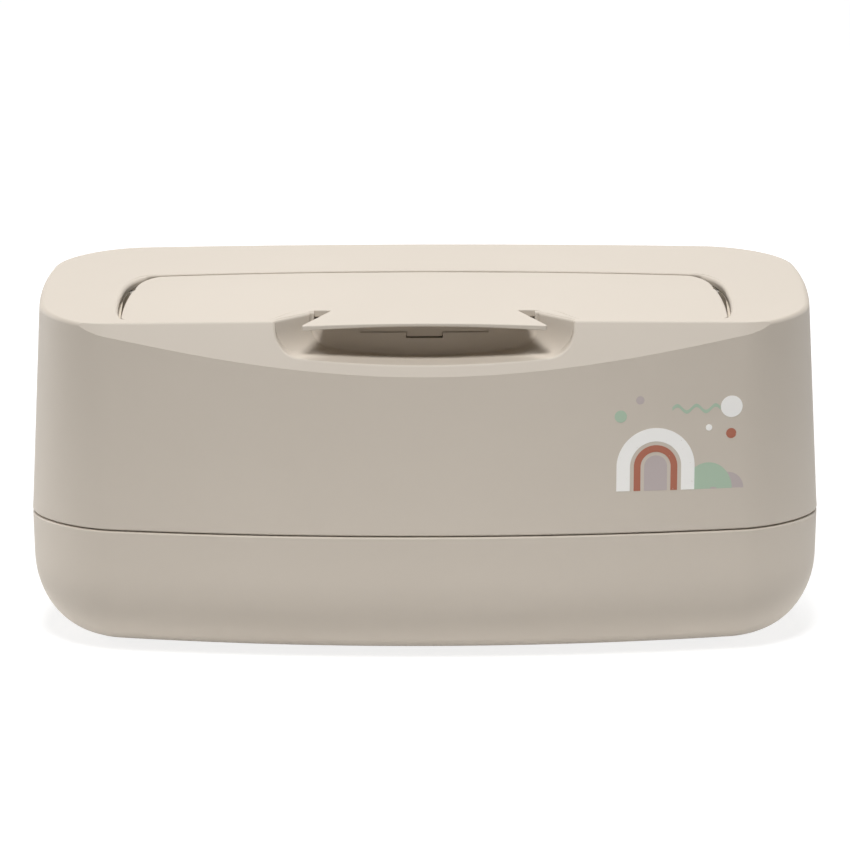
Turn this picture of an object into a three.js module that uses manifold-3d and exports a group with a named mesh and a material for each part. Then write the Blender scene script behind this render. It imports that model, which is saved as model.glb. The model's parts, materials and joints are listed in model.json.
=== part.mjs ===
// Wet wipes box: a bowed tray, a tapered housing that lifts off it, and a hinged lid with a thumb lip.
// Millimetres. X runs along the width, the front faces -Y, Z points up and the pads stand on Z = 0.
import * as THREE from 'three';
import { mergeVertices } from 'three/addons/utils/BufferGeometryUtils.js';
import Module from 'manifold-3d';

const wasm = await Module();
wasm.setup();

// Overall form
const width = 254;
const depth = 106.2;
const partingHeight = 41.2; // from the underside of the tray to the parting line
const crownHeight = 112.8; // from the underside of the tray to the top surface over the middle
const topRiseShare = 0.116; // how steeply the top surface rises towards the back
const crownRadius = 833; // front-to-back rounding of the top surface
const sideBow = 4.9;
const backBow = 5.5;
const frontBowAtParting = 13.3;
const frontBowAtTop = 5.5;
const frontBowAtFloor = 11.7;
const frontCorner = 24;
const backCorner = 28.6;
const leastCorner = 3;
const housingTaper = 4.4; // how far the housing draws in from the parting line to the top
const topEdgeRadius = 2;

// Tray
const trayWall = 2.4;
const trayFloor = 2.4;
const trayTaper = 0.2;
const bottomCurveHeight = 27.7;
const bottomCurveWidth = 22.2;
const partingGap = 0.4;
const lapHeight = 3;
const lapInset = 1.4; // the lap is the inner part of the tray wall, carried on above the parting line

// Rubber pads under the tray
const padRadius = 6;
const padStandOff = 0.8;
const padRecess = 1;
const padFromSide = 45; // centre of a pad from the side, the front and the back of the box
const padFromFront = 39.1;
const padFromBack = 34.6;
const padBevel = 0.3;

// Housing
const housingWall = 2.4;
const fit = 0.3; // side clearance between pieces that fit in each other
const seatGap = 0.3; // clearance at faces that rest on each other

// Slanted facet across the front of the top
const facetFromFront = 10.5; // upper edge of the facet, behind the front of the box
const facetRunShare = 0.52; // how far the facet runs forward for each unit of drop
const facetHollow = 1.3;
const facetHollowReach = 90;
const facetEdgeRadius = 1.2;

// Finger scoop under the lip
const scoopHalfWidth = 45.9;
const scoopBackHalfWidth = 35.8;
const scoopFlankFromFront = 12.6; // where the flanks start to close in
const scoopBackFromFront = 20.5;
const scoopFloorDrop = 13.7; // floor of the scoop below the top surface over its back wall
const scoopFloorSag = 1.9;
const scoopCornerRadius = 8.5;
const scoopBackRadius = 1.2;
const scoopHeelShare = 0.5; // how far the floor lifts into the back wall, against its rounding
const scoopWall = 2;
const notchHalfWidth = 34.4; // gap in the rim that lets the neck of the lid through
const backWallDrop = 2.8; // top of the back wall below the top surface there
const recessHalfWidth = 20;
const recessDepth = 1;
const recessHeight = 3.8;
const catchHalfWidth = 5.7;
const catchHeight = 5.6;
const catchGap = 0.6;

// Opening in the top, which the lid fills
const openingFromSide = 31.1;
const openingFrontDraw = 1.3; // how far each side of the opening closes in towards the front
const openingFromFront = 13.7;
const openingFrontCorner = 4;
const openingRearWide = 9; // rear corners of the opening: oval, longer than they are wide
const openingRearLong = 19;
const rimWidth = 2; // between the opening and the flank of the scoop
const lidSeamFromFront = 63.4; // rear seam of the lid on the middle plane
const lidSeamBow = 5.3;
const lidSeamEndInset = 6.9; // where the bow is measured, inside the side of the opening
const seamGap = 0.45;

// Hinge
const hingeFromSeam = 12.3;
const pinRadius = 1.5;
const pinLength = 12;
const pinInset = 8.9; // inner end of a pin, inside the side of the opening
const knuckleRadius = 3.3;
const knuckleWidth = 3.6;
const bearingRadius = 3.6;
const bearingInset = 3.9;
const bearingEndWall = 1.1;

// Frame inside the opening
const frameWall = 1.6;
const troughFromHinge = 1.3;
const mouthFromLidSide = 34.2;
const collarFromTrough = 0.15;
const collarWall = 1.7;
const collarHeight = 3;
const earRise = 1.2; // top face of the screw ears above the deck
const earThickness = 2;
const earRadius = 5.5;
const rearEarInset = 19.9; // rear ears, inside the sides of the opening and behind the rear seam
const rearEarFromSeam = 11.7;
const middleEarX = 28;
const middleEarFromSeam = 15.7;
const sideEarFromOpening = 10.1;
const sideEarFromFront = 37.1;

// Screws that hold the frame
const screwRadius = 1.25;
const screwLength = 8;
const screwHeadRadius = 2.8;
const screwHeadHeight = 1.7;
const screwSlotRadius = 1.1;
const screwSlotDepth = 0.9;
const screwHeadShare = 0.8; // top of the rounded head, against its full radius
const bossRadius = 3.4;

// Lid
const lidFrontSideGap = 0.4; // between lid and opening: front of the sides, their rear, and in front
const lidRearSideGap = 2.6;
const lidFrontGap = 0.5;
const lidFrontCorner = 3.6;
const lidRearWide = 8.5; // rear corners of the lid, behind a small step in its sides
const lidRearLong = 14;
const lidRearStep = 0.8;
const lidRecess = 0.3;
const lidPlate = 2.2;
const lipNeckLength = 1.7; // straight part of the neck in front of the scoop's back wall, behind the flare
const lipNeckHalfWidth = 29.4;
const lipTipHalfWidth = 38.2;
const lipReach = 12.2; // tips of the lip in front of the scoop's back wall
const lipHollow = 2.3;
const lipThickness = 1.6;
const skirtInset = 0.8;
const skirtWall = 1.4;
const skirtGap = 1.2; // between the skirt and the deck
const bandThickness = 0.7;
const stakeRadius = 1.2;
const stakeBossRadius = 2.4;
const stakeFromMouth = 14;
const stakeRowOffset = 8;

// Lid liner and its seal
const linerThickness = 1.6;
const linerFrontGap = 0.65;
const sealWidth = 2.8;
const sealThickness = 1.4;
const linerTopGap = 0.5; // least gap between the level liner and the sloping lid
const grooveRib = 1;
const grooveDepth = 0.9;
const linerEdge = 3;
const linerCorner = 8;

// Colours of the plastics, the rubber and the steel
const shellColour = 0xcdc3b6;
const padColour = 0x8f8a82;
const sealColour = 0xe9e6df;
const screwColour = 0xb9bbbd;

// Places worked out from the sizes above
const frontY = -depth / 2;
const padX = width / 2 - padFromSide;
const padFrontY = frontY + padFromFront;
const padBackY = depth / 2 - padFromBack;
const facetTopY = frontY + facetFromFront;
const scoopFlankY = frontY + scoopFlankFromFront;
const scoopBackY = frontY + scoopBackFromFront;
const openingHalfWidth = width / 2 - openingFromSide;
const openingFrontHalfWidth = openingHalfWidth - openingFrontDraw;
const openingFrontY = frontY + openingFromFront;
const lidSeamY = frontY + lidSeamFromFront;
const lidSeamReach = openingHalfWidth - lidSeamEndInset;
const lidHalfWidth = openingFrontHalfWidth - lidFrontSideGap;
const lidRearHalfWidth = openingHalfWidth - lidRearSideGap;
const lidFrontY = openingFrontY + lidFrontGap;
const lipNeckY = scoopBackY + lipNeckLength;
const lipTipY = scoopBackY - lipReach;
const hingeY = lidSeamY - hingeFromSeam;
const pinInnerX = openingHalfWidth - pinInset;
const pinOuterX = pinInnerX + pinLength;
const troughFrontY = hingeY - troughFromHinge;
const linerMargin = collarWall / 2 + sealWidth / 2 + seatGap + grooveRib;
const linerFrontY = scoopBackY + rimWidth + seamGap + skirtInset + skirtWall + linerFrontGap;
const collarBackY = troughFrontY - collarFromTrough;
const mouthFrontY = linerFrontY + linerMargin;
const mouthHalfDepth = (collarBackY - collarWall - mouthFrontY) / 2;
const mouthHalfWidth = lidHalfWidth - mouthFromLidSide;
const sealCentreY = mouthFrontY + mouthHalfDepth;
const stakeX = mouthHalfWidth + stakeFromMouth;
const trayUnderside = padStandOff;
const partingZ = trayUnderside + partingHeight;
const crownZ = trayUnderside + crownHeight;
const hingeZ = topAt(hingeY) - housingWall - fit - pinRadius;
const scoopFloorZ = topAt(scoopBackY) - scoopFloorDrop;
const backWallZ = topAt(scoopBackY) - backWallDrop;
const sealTopZ = topAt(linerFrontY) - lidRecess - lidPlate - linerTopGap - linerThickness;
const deckZ = sealTopZ - sealThickness - 2 * seatGap - collarHeight;
const earZ = deckZ + earRise;
const skirtZ = deckZ + skirtGap;
const overrun = 6; // how far cutting tools reach past what they cut

// Height of the top surface at a place from front to back
function topAt(y) {
  return trayUnderside + crownHeight + topRiseShare * y - (y * y) / (2 * crownRadius);
}

// Turns a closed geometry into a solid for joining and cutting
function solidOf(geometry) {
  const bare = geometry.clone();
  bare.deleteAttribute('normal');
  bare.deleteAttribute('uv');
  const merged = mergeVertices(bare);
  return new wasm.Manifold(new wasm.Mesh({
    numProp: 3,
    vertProperties: new Float32Array(merged.attributes.position.array),
    triVerts: new Uint32Array(merged.index.array),
  }));
}

// Turns a solid into a named mesh with its own finish
function meshOf(name, solid, color, roughness) {
  const { vertProperties, triVerts } = solid.getMesh();
  const geometry = new THREE.BufferGeometry();
  geometry.setAttribute('position', new THREE.BufferAttribute(new Float32Array(vertProperties), 3));
  geometry.setIndex(new THREE.BufferAttribute(new Uint32Array(triVerts), 1));
  geometry.computeVertexNormals();
  const metalness = color === screwColour ? 1 : 0;
  const mesh = new THREE.Mesh(geometry, new THREE.MeshStandardMaterial({ color, roughness, metalness }));
  mesh.name = name;
  return mesh;
}

const joined = (solids) => solids.reduce((sum, solid) => sum.add(solid));
const cutBy = (solid, tools) => tools.reduce((rest, tool) => rest.subtract(tool), solid);
const sharesOf = (count) => Array.from({ length: count + 1 }, (_, i) => i / count);
const at = (x, y) => new THREE.Vector2(x, y);
const { lerp, mapLinear } = THREE.MathUtils;
const quarterTurn = Math.PI / 2;
const sides = [-1, 1];

// Points of an arc and of a straight line, without the last one; an oval arc has a second radius
function arc(x, y, radius, from, to, count, radiusY = radius) {
  return sharesOf(count).slice(0, -1).map((share) => {
    const angle = lerp(from, to, share);
    return at(x + radius * Math.cos(angle), y + radiusY * Math.sin(angle));
  });
}

function line(from, to, count) {
  return sharesOf(count).slice(0, -1).map((share) => from.clone().lerp(to, share));
}

// Whole outline from its right half, which starts and ends on the middle plane
function mirrored(half) {
  return [...half, ...half.slice(1, -1).reverse().map((p) => at(-p.x, p.y))];
}

// A level section of the box: a rounded rectangle whose four sides bow outwards
function boxSection(inset, frontBow) {
  const side = width / 2 - sideBow - inset;
  const front = depth / 2 - frontBow - inset;
  const back = depth / 2 - backBow - inset;
  const frontRadius = Math.max(frontCorner - inset, leastCorner);
  const backRadius = Math.max(backCorner - inset, leastCorner);
  const half = [
    ...line(at(0, -front), at(side - frontRadius, -front), 6),
    ...arc(side - frontRadius, frontRadius - front, frontRadius, -quarterTurn, 0, 8),
    ...line(at(side, frontRadius - front), at(side, back - backRadius), 4),
    ...arc(side - backRadius, back - backRadius, backRadius, 0, quarterTurn, 8),
    ...line(at(side - backRadius, back), at(0, back), 5),
    at(0, back),
  ];
  return mirrored(half.map(({ x, y }) => {
    const across = x / side;
    const along = y < 0 ? y / front : y / back;
    const bow = y < 0 ? frontBow : backBow;
    return at(
      x + sideBow * (1 - along * along) * across,
      y + bow * (1 - across * across) * along,
    );
  }));
}

// Front bow of the box at a height: fullest at the parting line
function frontBowAt(z) {
  return z > partingZ
    ? mapLinear(z, partingZ, crownZ, frontBowAtParting, frontBowAtTop)
    : mapLinear(z, trayUnderside, partingZ, frontBowAtFloor, frontBowAtParting);
}

const raised = (points, z) => points.map((p) => new THREE.Vector3(p.x, p.y, z));
const ringAt = (z, inset) => raised(boxSection(inset, frontBowAt(z)), z);

// End caps: level rungs between mirrored halves, or any flat outline
function rungs(outline) {
  const count = outline.length;
  const triangles = [];
  for (let i = 0; i < count / 2; i += 1) {
    const left = (count - i) % count;
    triangles.push([i, i + 1, left], [i + 1, left - 1 < 0 ? count - 1 : left - 1, left]);
  }
  return triangles.filter(([a, b, c]) => a !== b && b !== c && a !== c);
}

const flatCap = (flatten) => (outline) => {
  const flat = outline.map(flatten);
  const triangles = THREE.ShapeUtils.triangulateShape(flat, []);
  return THREE.ShapeUtils.isClockWise(flat) ? triangles.map(([a, b, c]) => [c, b, a]) : triangles;
};

// Solid through a row of like closed outlines, with its faces turned outwards
function skin(outlines, cap) {
  const count = outlines[0].length;
  const last = (outlines.length - 1) * count;
  const triangles = [
    ...cap(outlines[0]).map(([a, b, c]) => [a, c, b]),
    ...cap(outlines.at(-1)).map(([a, b, c]) => [last + a, last + b, last + c]),
  ];
  for (let start = 0; start < last; start += count) {
    for (let i = 0; i < count; i += 1) {
      const a = start + i;
      const b = start + ((i + 1) % count);
      triangles.push([a, b, b + count], [a, b + count, a + count]);
    }
  }
  const points = outlines.flat();
  const volume = triangles.reduce((sum, [a, b, c]) => (
    sum + points[a].dot(points[b].clone().cross(points[c]))), 0);
  const geometry = new THREE.BufferGeometry().setFromPoints(points);
  geometry.setIndex(triangles.flatMap(([a, b, c]) => (volume > 0 ? [a, b, c] : [a, c, b])));
  return solidOf(geometry);
}

// Prisms: upright on a plan outline, or along X on a side outline of (y, z) points
function prism(outline, fromZ, toZ) {
  const geometry = new THREE.ExtrudeGeometry(new THREE.Shape(outline), {
    depth: toZ - fromZ, bevelEnabled: false,
  });
  geometry.translate(0, 0, fromZ);
  return solidOf(geometry);
}

function sidePrism(outline, halfWidth) {
  const geometry = new THREE.ExtrudeGeometry(new THREE.Shape(outline), {
    depth: 2 * halfWidth, bevelEnabled: false,
  });
  geometry.translate(0, 0, -halfWidth);
  geometry.applyMatrix4(new THREE.Matrix4().makeBasis(
    new THREE.Vector3(0, 1, 0), new THREE.Vector3(0, 0, 1), new THREE.Vector3(1, 0, 0),
  ));
  return solidOf(geometry);
}

function block(fromX, toX, fromY, toY, fromZ, toZ) {
  const geometry = new THREE.BoxGeometry(toX - fromX, toY - fromY, toZ - fromZ);
  geometry.translate((fromX + toX) / 2, (fromY + toY) / 2, (fromZ + toZ) / 2);
  return solidOf(geometry);
}

// Round post standing at a place; its top may have a radius of its own
function post(x, y, radius, fromZ, toZ, topRadius = radius) {
  const geometry = new THREE.CylinderGeometry(topRadius, radius, toZ - fromZ, 18);
  geometry.rotateX(quarterTurn);
  geometry.translate(x, y, (fromZ + toZ) / 2);
  return solidOf(geometry);
}

// Round bar on the hinge axis, at the left (side -1) or the right (side 1)
function axle(radius, side, innerX, outerX) {
  const geometry = new THREE.CylinderGeometry(radius, radius, outerX - innerX, 18);
  geometry.rotateZ(quarterTurn);
  geometry.translate(side * (innerX + outerX) / 2, hingeY, hingeZ);
  return solidOf(geometry);
}

// Everything under the top surface lowered by a drop
function underCrown(drop) {
  const crown = sharesOf(12).map((share) => {
    const y = lerp(depth, -depth, share);
    return at(y, topAt(y) - drop);
  });
  return sidePrism([at(-depth, -depth), at(depth, -depth), ...crown], width);
}

// The housing's form, closed below at a height and drawn in by an inset and a top drop
function housingForm(inset, drop, baseZ, edgeRadius) {
  const taper = housingTaper / (crownZ - partingZ);
  const brim = sharesOf(edgeRadius > 0 ? 3 : 1).map((share) => {
    const turn = share * quarterTurn;
    const plan = boxSection(inset + housingTaper + edgeRadius * (1 - Math.cos(turn)), frontBowAtTop);
    const lift = edgeRadius * Math.sin(turn) - edgeRadius;
    return plan.map((p) => new THREE.Vector3(p.x, p.y, topAt(p.y) - drop + lift));
  });
  const rings = [ringAt(baseZ, inset + taper * (baseZ - partingZ)), ...brim];
  return skin(edgeRadius > 0 ? rings : rings.slice(0, -1), rungs);
}

// Tool for the slanted facet: everything in front of it, with the rounded edge it leaves on the top
function facetTool(setBack, edgeRadius) {
  const slant = Math.atan(facetRunShare);
  const outlines = sharesOf(10).map((share) => {
    const x = lerp(-width / 2, width / 2, share);
    const hollow = facetHollow * Math.max(1 - (x / facetHollowReach) ** 2, -1);
    const edgeY = facetTopY + hollow + setBack;
    const bendStart = Math.PI - slant;
    const bendEnd = quarterTurn + Math.atan(topRiseShare - edgeY / crownRadius);
    const bendInset = edgeRadius / Math.cos((bendStart - bendEnd) / 2);
    const bendY = edgeY - bendInset * Math.cos((bendStart + bendEnd) / 2);
    const bendZ = topAt(edgeY) - bendInset * Math.sin((bendStart + bendEnd) / 2);
    const footY = edgeY - facetRunShare * (topAt(edgeY) - partingZ);
    const bend = sharesOf(edgeRadius > 0 ? 3 : 1).map((turn) => {
      const angle = lerp(bendStart, bendEnd, turn);
      return at(bendY + edgeRadius * Math.cos(angle), bendZ + edgeRadius * Math.sin(angle));
    });
    const side = [at(-depth, partingZ), at(footY, partingZ), ...bend,
      at(bend.at(-1).x, crownZ + overrun), at(-depth, crownZ + overrun)];
    return side.map((p) => new THREE.Vector3(x, p.x, p.y));
  });
  return skin(outlines, flatCap((p) => at(p.y, p.z)));
}

// The hollow of the finger scoop, grown by a margin: upright outlines from front to back
function scoopTool(margin) {
  const backY = scoopBackY + margin;
  const bend = sharesOf(3).map((share) => {
    const turn = share * quarterTurn;
    return [backY - scoopBackRadius * (1 - Math.sin(turn)),
      scoopBackHalfWidth + margin - scoopBackRadius * (1 - Math.cos(turn)),
      scoopBackRadius * scoopHeelShare * (1 - Math.cos(turn))];
  });
  const stations = [
    [-depth, scoopHalfWidth + margin, 0],
    [scoopFlankY, scoopHalfWidth + margin, 0],
    ...bend,
  ];
  const outlines = stations.map(([y, half, lift]) => {
    const floorZ = scoopFloorZ - margin + lift;
    const radius = scoopCornerRadius;
    const right = [
      ...sharesOf(3).map((share) => at((half - radius) * share, floorZ + scoopFloorSag * share * share)),
      ...sharesOf(6).slice(1).map((share) => at(
        half - radius + radius * Math.sin(share * quarterTurn),
        floorZ + scoopFloorSag + radius * (1 - Math.cos(share * quarterTurn)),
      )),
      at(half, crownZ + overrun),
    ];
    const left = right.slice(1).reverse().map((p) => at(-p.x, p.y));
    return [...right, ...left].map((p) => new THREE.Vector3(p.x, y, p.y));
  });
  return skin(outlines, flatCap((p) => at(p.x, p.z)));
}

// Plan outline of the opening in the top, grown by a margin, with the bay that goes round the scoop
function openingOutline(margin) {
  const frontY = openingFrontY - margin;
  const frontSide = openingFrontHalfWidth + margin;
  const cornerX = openingHalfWidth - openingRearWide;
  const cornerY = seamYAt(cornerX) + seamGap - openingRearLong;
  const frontRadius = openingFrontCorner + margin;
  return mirrored([...bayLine(rimWidth - margin, frontY, frontSide - frontRadius),
    ...arc(frontSide - frontRadius, frontY + frontRadius, frontRadius, -quarterTurn, 0, 4),
    at(frontSide, frontY + frontRadius),
    ...arc(cornerX, cornerY, openingRearWide + margin, 0, quarterTurn, 7, openingRearLong + margin),
    at(cornerX, lidSeamY + margin + overrun), at(0, lidSeamY + margin + overrun)]);
}

// Front line of the opening or the lid: behind the scoop, round its flank and out to the front edge
function bayLine(offset, frontY, toX) {
  const innerX = scoopBackHalfWidth + offset;
  const outerX = scoopHalfWidth + offset + rimWidth;
  const backY = scoopBackY + offset;
  const bend = sharesOf(6).map((share) => at(
    lerp(innerX, outerX, share),
    lerp(backY, frontY, (1 - Math.cos(share * Math.PI)) / 2),
  ));
  return [at(0, backY), ...bend, at(toX, frontY)];
}

// Rear seam of the lid: bowed in plan, and swept round the hinge axis as a barrel
function seamYAt(x) {
  return lidSeamY - lidSeamBow * (x / lidSeamReach) ** 2;
}

function barrel(margin) {
  const end = openingHalfWidth + frameWall + overrun;
  const profile = sharesOf(10).map((share) => {
    const x = lerp(-end, end, share);
    const seamY = Math.max(seamYAt(x), hingeY);
    return at(Math.hypot(seamY - hingeY, topAt(seamY) - hingeZ) + margin, x);
  });
  const geometry = new THREE.LatheGeometry([at(0, -end), ...profile, at(0, end)], 40);
  geometry.rotateZ(-quarterTurn);
  geometry.translate(0, hingeY, hingeZ);
  return solidOf(geometry);
}

// The well under the lid, grown by a margin: a flat deck in front of the hinge, a trough behind it
function well(margin) {
  const end = openingHalfWidth + frameWall + overrun;
  const plan = prism(openingOutline(margin), trayUnderside, crownZ + overrun);
  const front = block(-end, end, -depth, hingeY, deckZ - margin, crownZ + overrun);
  const rear = barrel(seamGap + margin).intersect(
    block(-end, end, troughFrontY - margin, depth, trayUnderside, crownZ + overrun),
  );
  return plan.intersect(front.add(rear));
}

function makeTray() {
  const curveTop = trayUnderside + bottomCurveHeight;
  const shell = (inset, floor) => sharesOf(6).map((share) => {
    const turn = (1 - share) * quarterTurn;
    return ringAt(
      curveTop - (bottomCurveHeight - floor) * Math.sin(turn),
      trayTaper + inset + (bottomCurveWidth - inset) * (1 - Math.cos(turn)),
    );
  });
  const outer = skin([...shell(0, 0), ringAt(partingZ - partingGap / 2, 0)], rungs);
  const lap = skin([ringAt(partingZ - lapHeight, lapInset), ringAt(partingZ + lapHeight, lapInset)], rungs);
  const innerTop = ringAt(partingZ + lapHeight + overrun, trayWall);
  const inner = skin([...shell(trayWall, trayFloor), innerTop], rungs);
  const pockets = padPlaces.map(([x, y]) => (
    post(x, y, padRadius + fit, 0, trayUnderside + padRecess)));
  return cutBy(outer.add(lap), [inner, ...pockets]);
}

// Corner pads: two in front and two behind
const padPlaces = [[-padX, padFrontY], [padX, padFrontY], [-padX, padBackY], [padX, padBackY]];

function makePad([x, y]) {
  return post(x, y, padRadius - padBevel, 0, padBevel, padRadius)
    .add(post(x, y, padRadius, padBevel, trayUnderside + padRecess - fit));
}

// Places of the frame screws: four behind the trough and one at each side
const rearEar = at(openingHalfWidth - rearEarInset, lidSeamY + rearEarFromSeam);
const middleEar = at(middleEarX, lidSeamY + middleEarFromSeam);
const sideEar = at(openingHalfWidth + sideEarFromOpening, frontY + sideEarFromFront);
const screwPlaces = [[-rearEar.x, rearEar.y], [-middleEar.x, middleEar.y], [middleEar.x, middleEar.y],
  [rearEar.x, rearEar.y], [-sideEar.x, sideEar.y], [sideEar.x, sideEar.y]];

function makeHousing() {
  const baseZ = partingZ + partingGap / 2;
  const outer = housingForm(0, 0, baseZ, topEdgeRadius).subtract(facetTool(0, facetEdgeRadius));
  const innerForm = housingForm(housingWall, housingWall, baseZ - overrun, 0)
    .subtract(facetTool(housingWall * Math.hypot(1, facetRunShare), 0));
  const rebate = skin([ringAt(baseZ - overrun, lapInset - fit),
    ringAt(partingZ + lapHeight + fit, lapInset - fit)], rungs);
  const bosses = screwPlaces.map(([x, y]) => (
    post(x, y, bossRadius, earZ + fit, topAt(y) - housingWall / 2)));
  const bores = screwPlaces.map(([x, y]) => (
    post(x, y, screwRadius + fit, earZ, earZ - earThickness + screwLength + fit)));
  const hollow = innerForm.subtract(scoopTool(scoopWall));
  const recess = block(-recessHalfWidth, recessHalfWidth, scoopBackY - overrun, scoopBackY + recessDepth,
    backWallZ - recessHeight, crownZ);
  const throughWall = (halfWidth, fromZ) => block(-halfWidth, halfWidth,
    scoopBackY - overrun, scoopBackY + scoopWall + overrun, fromZ, crownZ + overrun);
  const catchNotch = throughWall(catchHalfWidth, backWallZ - catchHeight);
  const rimNotch = throughWall(notchHalfWidth, backWallZ);
  const shell = cutBy(outer, [hollow, rebate]).add(joined(bosses));
  return cutBy(shell, [...bores, scoopTool(0), well(0), recess, catchNotch, rimNotch]);
}

// Rounded ring outline of the dispensing mouth and its seal
function mouthOutline(margin) {
  const radius = mouthHalfDepth + margin;
  const straight = mouthHalfWidth - mouthHalfDepth;
  return [
    ...arc(straight, sealCentreY, radius, -quarterTurn, quarterTurn, 12),
    ...arc(-straight, sealCentreY, radius, quarterTurn, 3 * quarterTurn, 12),
    at(-straight, sealCentreY - radius), at(straight, sealCentreY - radius),
  ].slice(0, -1);
}

function makeFrame() {
  const room = housingForm(housingWall + fit, housingWall + fit, partingZ, 0)
    .subtract(facetTool((housingWall + fit) * Math.hypot(1, facetRunShare), 0));
  const tub = well(frameWall);
  const ears = screwPlaces.map(([x, y]) => {
    const inward = Math.abs(x) > openingHalfWidth ? at(Math.sign(x) * openingHalfWidth, y) : at(x, hingeY);
    const arm = prism(earOutline(x, y, inward), earZ - earThickness, earZ);
    return arm.add(post(x, y, earRadius, earZ - earThickness, earZ));
  });
  const collar = prism(mouthOutline(collarWall), deckZ - frameWall, deckZ + collarHeight);
  const bearings = sides.map((side) => (
    axle(bearingRadius, side, openingHalfWidth - bearingInset, pinOuterX + fit + bearingEndWall)));
  const pinHoles = sides.map((side) => axle(pinRadius + fit, side, pinInnerX, pinOuterX + fit));
  const holes = screwPlaces.map(([x, y]) => post(x, y, screwRadius + fit, partingZ, earZ + overrun));
  const mouth = prism(mouthOutline(0), partingZ, crownZ);
  const solid = joined([tub, ...ears, ...bearings]).subtract(well(0)).add(collar);
  return cutBy(solid.intersect(room), [mouth, scoopTool(scoopWall + fit), ...holes, ...pinHoles]);
}

// Tapering arm of a screw ear, from the wall of the tub to the screw
function earOutline(x, y, inward) {
  const far = at(x, y);
  const along = far.clone().sub(inward).normalize();
  const across = at(-along.y, along.x).multiplyScalar(earRadius);
  return [inward.clone().sub(across), far.clone().sub(across), far.clone().add(across), inward.add(across)];
}

function makeScrew([x, y]) {
  const headTop = earZ - earThickness - seatGap;
  const shank = post(x, y, screwRadius, headTop, headTop + screwLength);
  const tipZ = headTop - screwHeadHeight;
  const head = post(x, y, screwHeadRadius * screwHeadShare, tipZ, headTop, screwHeadRadius);
  const slot = post(x, y, screwSlotRadius, tipZ - overrun, tipZ + screwSlotDepth);
  return shank.add(head).subtract(slot);
}

// Plan outline of the lid without its lip; the rear edge is left to the barrel
function lidOutline(inset) {
  const front = lidFrontY + inset;
  const frontSide = lidHalfWidth - inset;
  const cornerX = lidRearHalfWidth - lidRearStep - lidRearWide;
  const cornerY = seamYAt(cornerX) - lidRearLong;
  const radius = lidFrontCorner;
  return mirrored([...bayLine(rimWidth + seamGap + inset, front, frontSide - radius),
    ...arc(frontSide - radius, front + radius, radius, -quarterTurn, 0, 4),
    at(frontSide, front + radius),
    at(lidRearHalfWidth - inset, cornerY),
    ...arc(cornerX, cornerY, lidRearWide - inset, 0, quarterTurn, 7, lidRearLong - inset),
    at(cornerX, lidSeamY + overrun), at(0, lidSeamY + overrun)]);
}

// Dovetail lip: a narrow neck that flares to two tips, with a hollow front edge
function lipOutline() {
  const rootY = scoopBackY + 2 * rimWidth + seamGap;
  return mirrored([
    ...sharesOf(4).map((share) => at(lipTipHalfWidth * share, lipTipY + lipHollow * (1 - share * share))),
    at(lipNeckHalfWidth, lipNeckY), at(lipNeckHalfWidth, rootY), at(0, rootY)]);
}

// Room of the swinging lid: anything in front of the axis, and the barrel behind it
function lidRoom() {
  return barrel(0).add(block(-width, width, -depth, hingeY, trayUnderside, crownZ + overrun));
}

function makeLid() {
  const plan = prism(lidOutline(0), trayUnderside, crownZ + overrun);
  const slab = underCrown(lidRecess).subtract(underCrown(lidRecess + lidPlate));
  const lipSlab = underCrown(lidRecess).subtract(underCrown(lidRecess + lipThickness));
  const plate = plan.intersect(slab).intersect(lidRoom());
  const lip = prism(lipOutline(), trayUnderside, crownZ + overrun).intersect(lipSlab);
  const skirtPlan = (inset) => prism(lidOutline(inset), skirtZ, crownZ);
  const inFront = block(-width, width, -depth, hingeY, skirtZ, crownZ);
  const skirt = skirtPlan(skirtInset).subtract(skirtPlan(skirtInset + skirtWall))
    .intersect(underCrown(lidRecess + lidPlate / 2)).intersect(inFront).intersect(lidRoom());
  const band = block(-recessHalfWidth + fit, recessHalfWidth - fit,
    scoopBackY + recessDepth - fit - bandThickness, scoopBackY + recessDepth - fit,
    backWallZ - recessHeight + fit, crownZ).intersect(underCrown(lidRecess + lipThickness / 2));
  const tongue = block(-catchHalfWidth + fit, catchHalfWidth - fit,
    scoopBackY + recessDepth - fit - bandThickness, scoopBackY + scoopWall - fit,
    backWallZ - catchHeight + catchGap, crownZ).intersect(underCrown(lidRecess + lipThickness / 2));
  const knuckleX = lidRearHalfWidth - lidRearStep - skirtInset - knuckleWidth / 2;
  const knuckles = sides.map((side) => {
    const web = block(side * knuckleX - knuckleWidth / 2, side * knuckleX + knuckleWidth / 2,
      hingeY - knuckleRadius, hingeY + knuckleRadius, hingeZ, topAt(hingeY) - lidPlate);
    return web.add(axle(knuckleRadius, side, knuckleX - knuckleWidth / 2, knuckleX + knuckleWidth / 2));
  });
  const stakes = stakePlaces().map(([x, y]) => joined([
    post(x, y, stakeBossRadius, sealTopZ + linerThickness + seatGap, topAt(y) - lidPlate),
    post(x, y, stakeRadius, sealTopZ - seatGap, topAt(y) - lidPlate),
  ]));
  const holes = sides.map((side) => axle(pinRadius + fit, side, pinInnerX - fit, pinOuterX));
  return cutBy(joined([plate, lip, skirt, band, tongue, ...knuckles, ...stakes]), holes);
}

// Heat-staked posts that carry the liner: two rows
function stakePlaces() {
  return sides.flatMap((side) => [-1, 1].map((row) => [side * stakeX, sealCentreY + row * stakeRowOffset]));
}

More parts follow.
